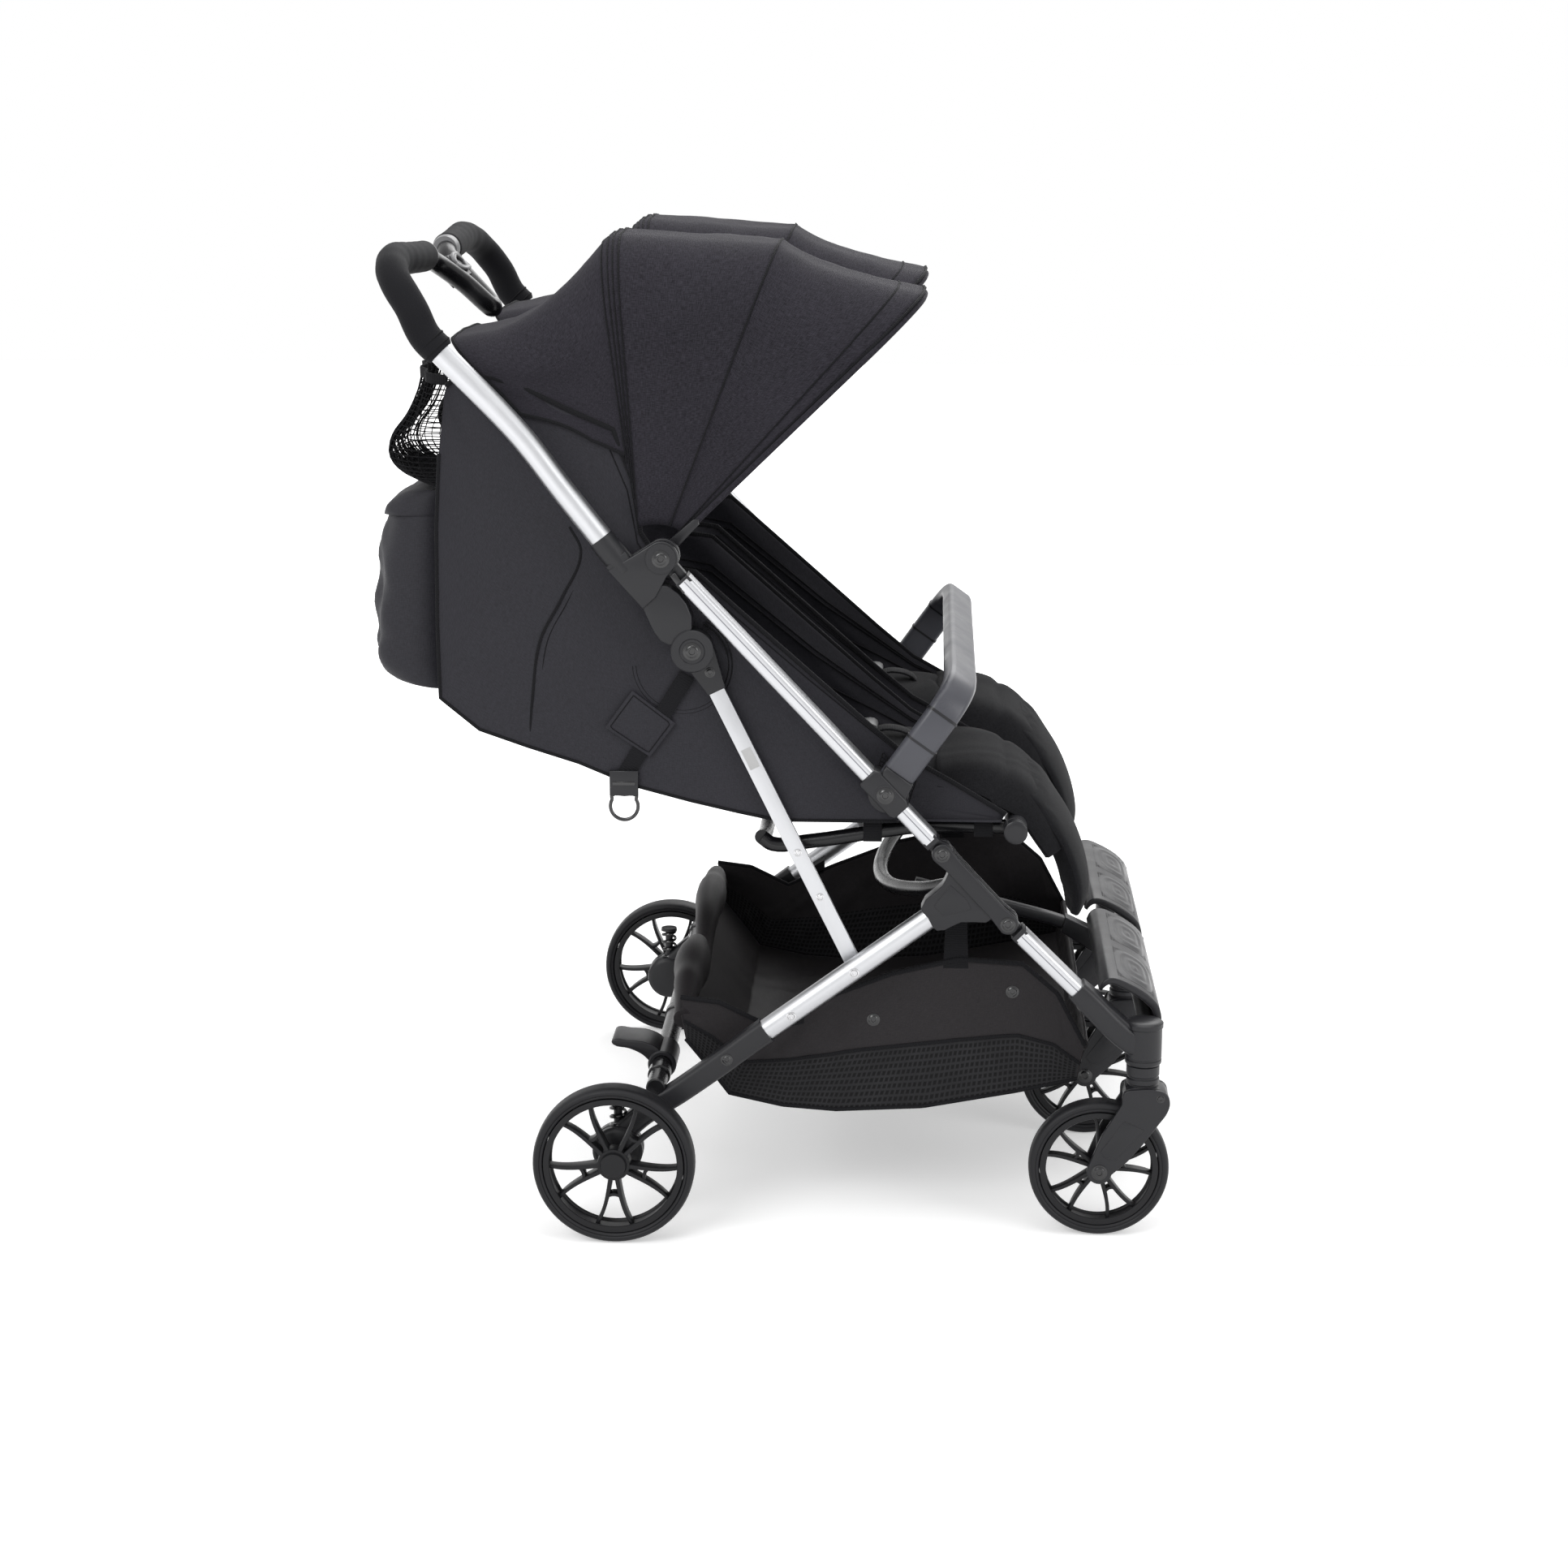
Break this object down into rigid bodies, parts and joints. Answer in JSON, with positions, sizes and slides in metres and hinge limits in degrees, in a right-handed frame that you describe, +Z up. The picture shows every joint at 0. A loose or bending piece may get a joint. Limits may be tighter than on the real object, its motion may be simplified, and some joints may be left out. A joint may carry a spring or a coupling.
{
  "type": "double stroller",
  "caption": "Side-by-side folding pushchair for two children, with reclining seats, canopies, swivelling front wheels and a shopping basket.",
  "frame": {"origin": "below the middle of the box, on the ground that the wheels stand on", "axes": "+X forward in the direction of travel, +Y to the stroller's left, +Z up"},
  "size_m": [0.8155, 0.716, 1.0071],
  "materials": {
    "satin_aluminium": "bright satin anodised",
    "dark_plastic": "fine-grained moulded",
    "grey_plastic": "smooth moulded",
    "tyre_rubber": "matt foam rubber",
    "handle_foam": "soft matt foam",
    "black_tube": "gloss black powder coat",
    "charcoal_fabric": "plain-woven"
  },
  "bodies": {
    "rear_frame": {"rear_leg_right": "satin_aluminium", "rear_leg_left": "satin_aluminium", "joint_bar_right": "dark_plastic", "joint_bar_left": "dark_plastic", "axle_leg_right": "dark_plastic", "axle_leg_left": "dark_plastic", "rear_cross_tube": "black_tube", "frame_stretcher": "black_tube", "basket": "charcoal_fabric"},
    "brake_pedal": {"brake_pedal": "dark_plastic"},
    "struts": {"rear_strut_right": "satin_aluminium", "rear_strut_left": "satin_aluminium"},
    "rear_wheel_right": {"rear_wheel_right_rim": "dark_plastic", "rear_wheel_right_tyre": "tyre_rubber"},
    "rear_wheel_left": {"rear_wheel_left_rim": "dark_plastic", "rear_wheel_left_tyre": "tyre_rubber"},
    "lower_front": {"lower_leg_right": "satin_aluminium", "lower_leg_left": "satin_aluminium", "caster_post_right": "dark_plastic", "caster_post_middle": "dark_plastic", "caster_post_left": "dark_plastic", "footrest_right": "dark_plastic", "footrest_left": "dark_plastic"},
    "handle": {"handle_tube_right": "satin_aluminium", "handle_tube_left": "satin_aluminium", "handle_joint_right": "dark_plastic", "handle_joint_left": "dark_plastic", "handle_foam_right": "handle_foam", "handle_foam_left": "handle_foam", "handle_centre_tube": "black_tube", "fold_release": "grey_plastic"},
    "front_frame": {"upper_leg_right": "satin_aluminium", "upper_leg_left": "satin_aluminium", "bumper_socket_right": "grey_plastic", "bumper_socket_left": "grey_plastic", "seat_frame": "black_tube", "seat_pad_right": "charcoal_fabric", "seat_pad_left": "charcoal_fabric", "seat_shell_right": "charcoal_fabric", "seat_shell_left": "charcoal_fabric", "canopy_right": "charcoal_fabric", "canopy_left": "charcoal_fabric", "recline_strap_right": "charcoal_fabric", "recline_strap_left": "charcoal_fabric"},
    "bumper_bar": {"bumper_bar": "grey_plastic"},
    "caster_right": {"caster_fork_right": "dark_plastic"},
    "front_wheel_right": {"front_wheel_right_rim": "dark_plastic", "front_wheel_right_tyre": "tyre_rubber"},
    "caster_middle": {"caster_fork_middle": "dark_plastic"},
    "front_wheel_middle": {"front_wheel_middle_rim": "dark_plastic", "front_wheel_middle_tyre": "tyre_rubber"},
    "caster_left": {"caster_fork_left": "dark_plastic"},
    "front_wheel_left": {"front_wheel_left_rim": "dark_plastic", "front_wheel_left_tyre": "tyre_rubber"},
    "seat_back_right": {"seat_back_right": "charcoal_fabric"},
    "leg_rest_right": {"leg_rest_right": "charcoal_fabric"},
    "canopy_bow_right": {"canopy_bow_right": "dark_plastic"},
    "seat_back_left": {"seat_back_left": "charcoal_fabric"},
    "leg_rest_left": {"leg_rest_left": "charcoal_fabric"},
    "canopy_bow_left": {"canopy_bow_left": "dark_plastic"}
  },
  "joints": [
    {"name": "frame_fold", "type": "hinge", "parent": "rear_frame", "child": "front_frame", "pos_m": [0.1728, 0, 0.4015], "axis": [0, -1, 0], "range_deg": [0, 65], "deforming": ["basket", "seat_shell_right", "seat_shell_left", "seat_back_right", "seat_back_left", "recline_strap_right", "recline_strap_left"]},
    {"name": "handle_fold", "type": "hinge", "parent": "front_frame", "child": "handle", "pos_m": [-0.1057, 0, 0.697], "axis": [0, 1, 0], "range_deg": [0, 121.5]},
    {"name": "strut_fold", "type": "hinge", "parent": "rear_frame", "child": "struts", "pos_m": [0.0856, 0, 0.2764], "axis": [0, -1, 0], "range_deg": [0, 77]},
    {"name": "lower_leg_fold", "type": "hinge", "parent": "rear_frame", "child": "lower_front", "pos_m": [0.2393, 0, 0.33], "axis": [0, 1, 0], "range_deg": [0, 41]},
    {"name": "brake_press", "type": "hinge", "parent": "rear_frame", "child": "brake_pedal", "pos_m": [-0.1167, -0.21, 0.15], "axis": [0, -1, 0], "range_deg": [0, 20]},
    {"name": "rear_wheel_right_spin", "type": "hinge", "parent": "rear_frame", "child": "rear_wheel_right", "pos_m": [-0.1562, -0.344, 0.0825], "axis": [0, 1, 0], "continuous": true},
    {"name": "rear_wheel_left_spin", "type": "hinge", "parent": "rear_frame", "child": "rear_wheel_left", "pos_m": [-0.1562, 0.344, 0.0825], "axis": [0, 1, 0], "continuous": true},
    {"name": "caster_right_swivel", "type": "hinge", "parent": "lower_front", "child": "caster_right", "pos_m": [0.3788, -0.3, 0.183], "axis": [0, 0, 1], "continuous": true},
    {"name": "front_wheel_right_spin", "type": "hinge", "parent": "caster_right", "child": "front_wheel_right", "pos_m": [0.3363, -0.3, 0.0715], "axis": [0, 1, 0], "continuous": true},
    {"name": "caster_middle_swivel", "type": "hinge", "parent": "lower_front", "child": "caster_middle", "pos_m": [0.3788, 0, 0.183], "axis": [0, 0, 1], "continuous": true},
    {"name": "front_wheel_middle_spin", "type": "hinge", "parent": "caster_middle", "child": "front_wheel_middle", "pos_m": [0.3363, 0, 0.0715], "axis": [0, 1, 0], "continuous": true},
    {"name": "caster_left_swivel", "type": "hinge", "parent": "lower_front", "child": "caster_left", "pos_m": [0.3788, 0.3, 0.183], "axis": [0, 0, 1], "continuous": true},
    {"name": "front_wheel_left_spin", "type": "hinge", "parent": "caster_left", "child": "front_wheel_left", "pos_m": [0.3363, 0.3, 0.0715], "axis": [0, 1, 0], "continuous": true},
    {"name": "seat_back_right_recline", "type": "hinge", "parent": "front_frame", "child": "seat_back_right", "pos_m": [0.0063, -0.152, 0.415], "axis": [0, 1, 0], "range_deg": [0, 50]},
    {"name": "leg_rest_right_lift", "type": "hinge", "parent": "front_frame", "child": "leg_rest_right", "pos_m": [0.2463, -0.152, 0.418], "axis": [0, -1, 0], "range_deg": [0, 45]},
    {"name": "canopy_right_fold", "type": "hinge", "parent": "front_frame", "child": "canopy_bow_right", "pos_m": [-0.1057, -0.152, 0.697], "axis": [0, -1, 0], "range_deg": [0, 50], "deforming": ["canopy_right"]},
    {"name": "seat_back_left_recline", "type": "hinge", "parent": "front_frame", "child": "seat_back_left", "pos_m": [0.0063, 0.152, 0.415], "axis": [0, 1, 0], "range_deg": [0, 50]},
    {"name": "leg_rest_left_lift", "type": "hinge", "parent": "front_frame", "child": "leg_rest_left", "pos_m": [0.2463, 0.152, 0.418], "axis": [0, -1, 0], "range_deg": [0, 45]},
    {"name": "canopy_left_fold", "type": "hinge", "parent": "front_frame", "child": "canopy_bow_left", "pos_m": [-0.1057, 0.152, 0.697], "axis": [0, -1, 0], "range_deg": [0, 50], "deforming": ["canopy_left"]},
    {"name": "bumper_bar_pull", "type": "slide", "parent": "front_frame", "child": "bumper_bar", "axis": [0.5803, 0, 0.8144], "range_m": [0, 0.06]}
  ],
  "couplings": [
    {"joint": "handle_fold", "follows": "frame_fold", "ratio": 1.86},
    {"joint": "strut_fold", "follows": "frame_fold", "ratio": 1.175},
    {"joint": "lower_leg_fold", "follows": "frame_fold", "ratio": 0.615}
  ]
}
